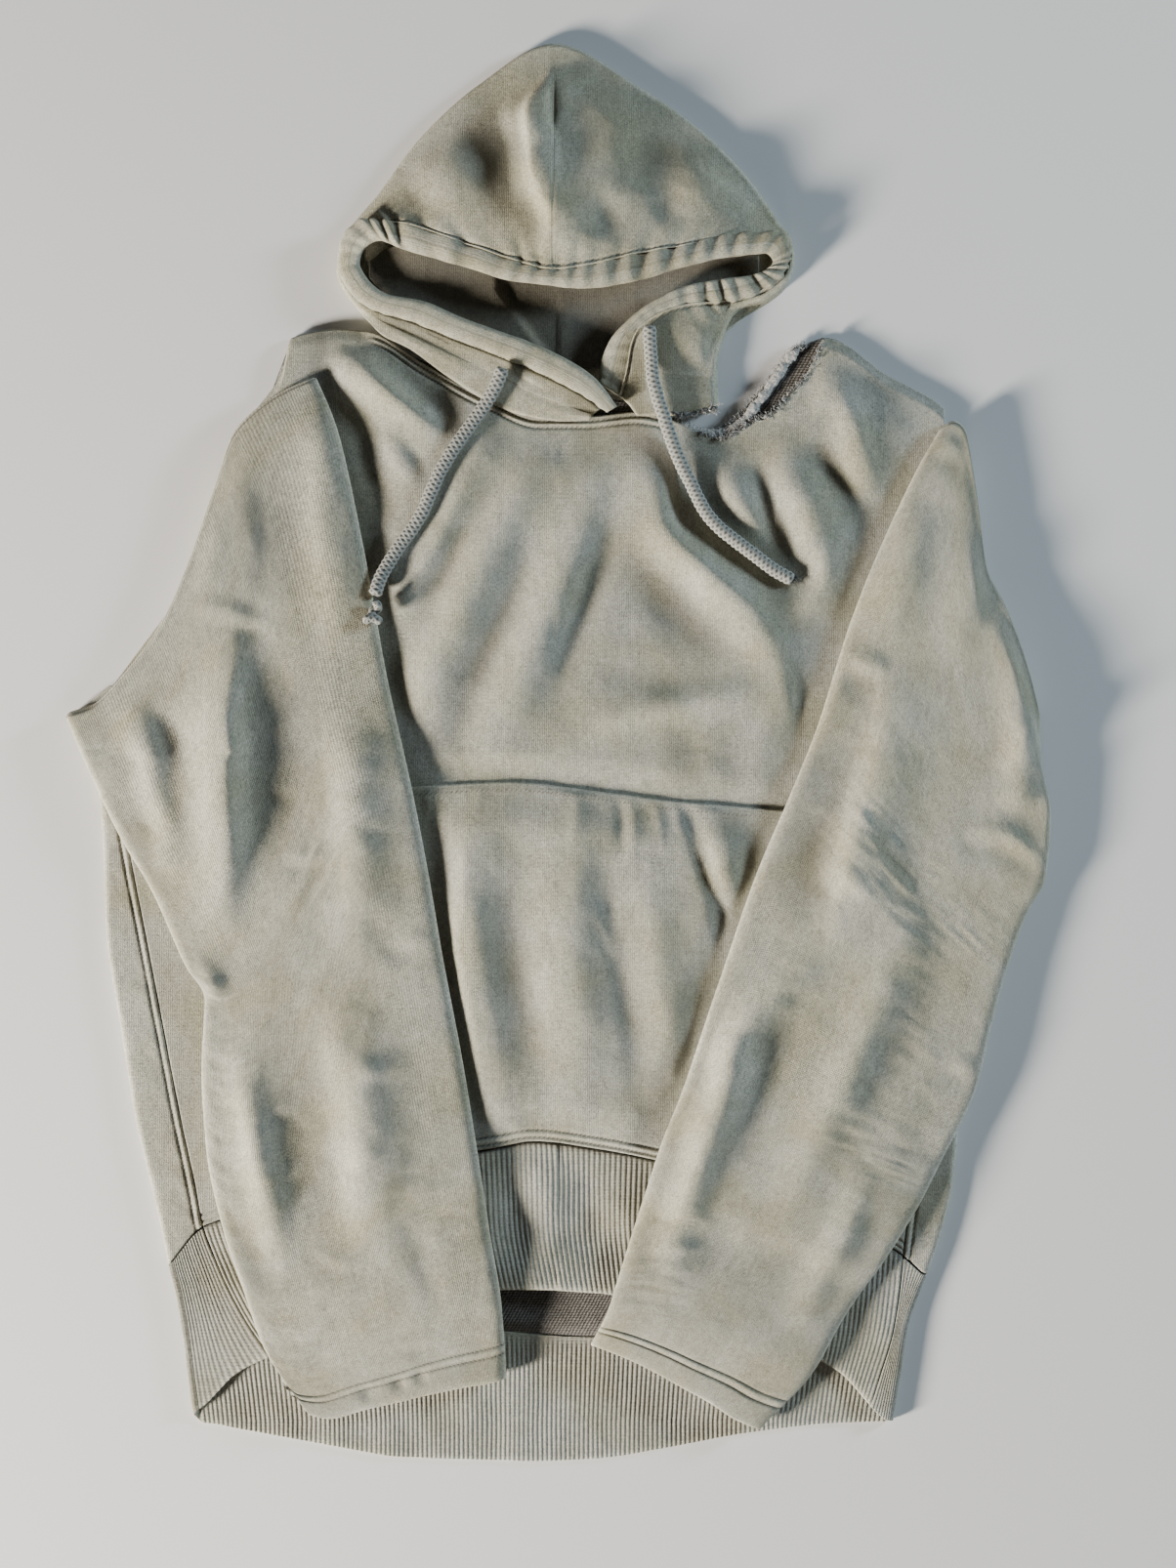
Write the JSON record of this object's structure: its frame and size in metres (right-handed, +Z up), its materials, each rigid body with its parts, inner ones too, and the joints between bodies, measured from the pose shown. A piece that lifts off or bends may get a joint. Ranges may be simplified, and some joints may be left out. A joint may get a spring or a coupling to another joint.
{
  "type": "pullover hoodie",
  "caption": "Hooded pullover sweatshirt laid flat, sleeves folded over the front, kangaroo pocket, ribbed hem and drawcord, hood torn at one shoulder.",
  "frame": {"origin": "on the surface that the hoodie lies on, under the middle of its outline", "axes": "+Z up, out of the hoodie's front; +Y from the hem to the hood; +X towards the wearer's left"},
  "size_m": [0.6339, 0.9172, 0.0288],
  "materials": {
    "fleece": "washed cotton fleece, smooth jersey face",
    "sleeve_fleece": "washed cotton fleece, grain along the arm",
    "hood_fleece": "washed cotton fleece",
    "lining": "unfaded cotton jersey",
    "rib": "cotton rib knit",
    "cord": "braided cotton cord"
  },
  "bodies": {
    "root": {"front_panel": "fleece", "back_panel": "fleece", "side_panel_right": "fleece", "side_panel_left": "fleece", "pocket": "fleece", "hem_rib_front": "rib", "hem_rib_back": "rib", "sleeve_right": "sleeve_fleece", "sleeve_left": "sleeve_fleece", "hood_casing": "hood_fleece", "hood_panel_right": "hood_fleece", "hood_panel_left": "hood_fleece", "hood_lining": "lining", "drawcord_right": "cord", "drawcord_left": "cord", "cord_knot": "cord"}
  },
  "joints": []
}
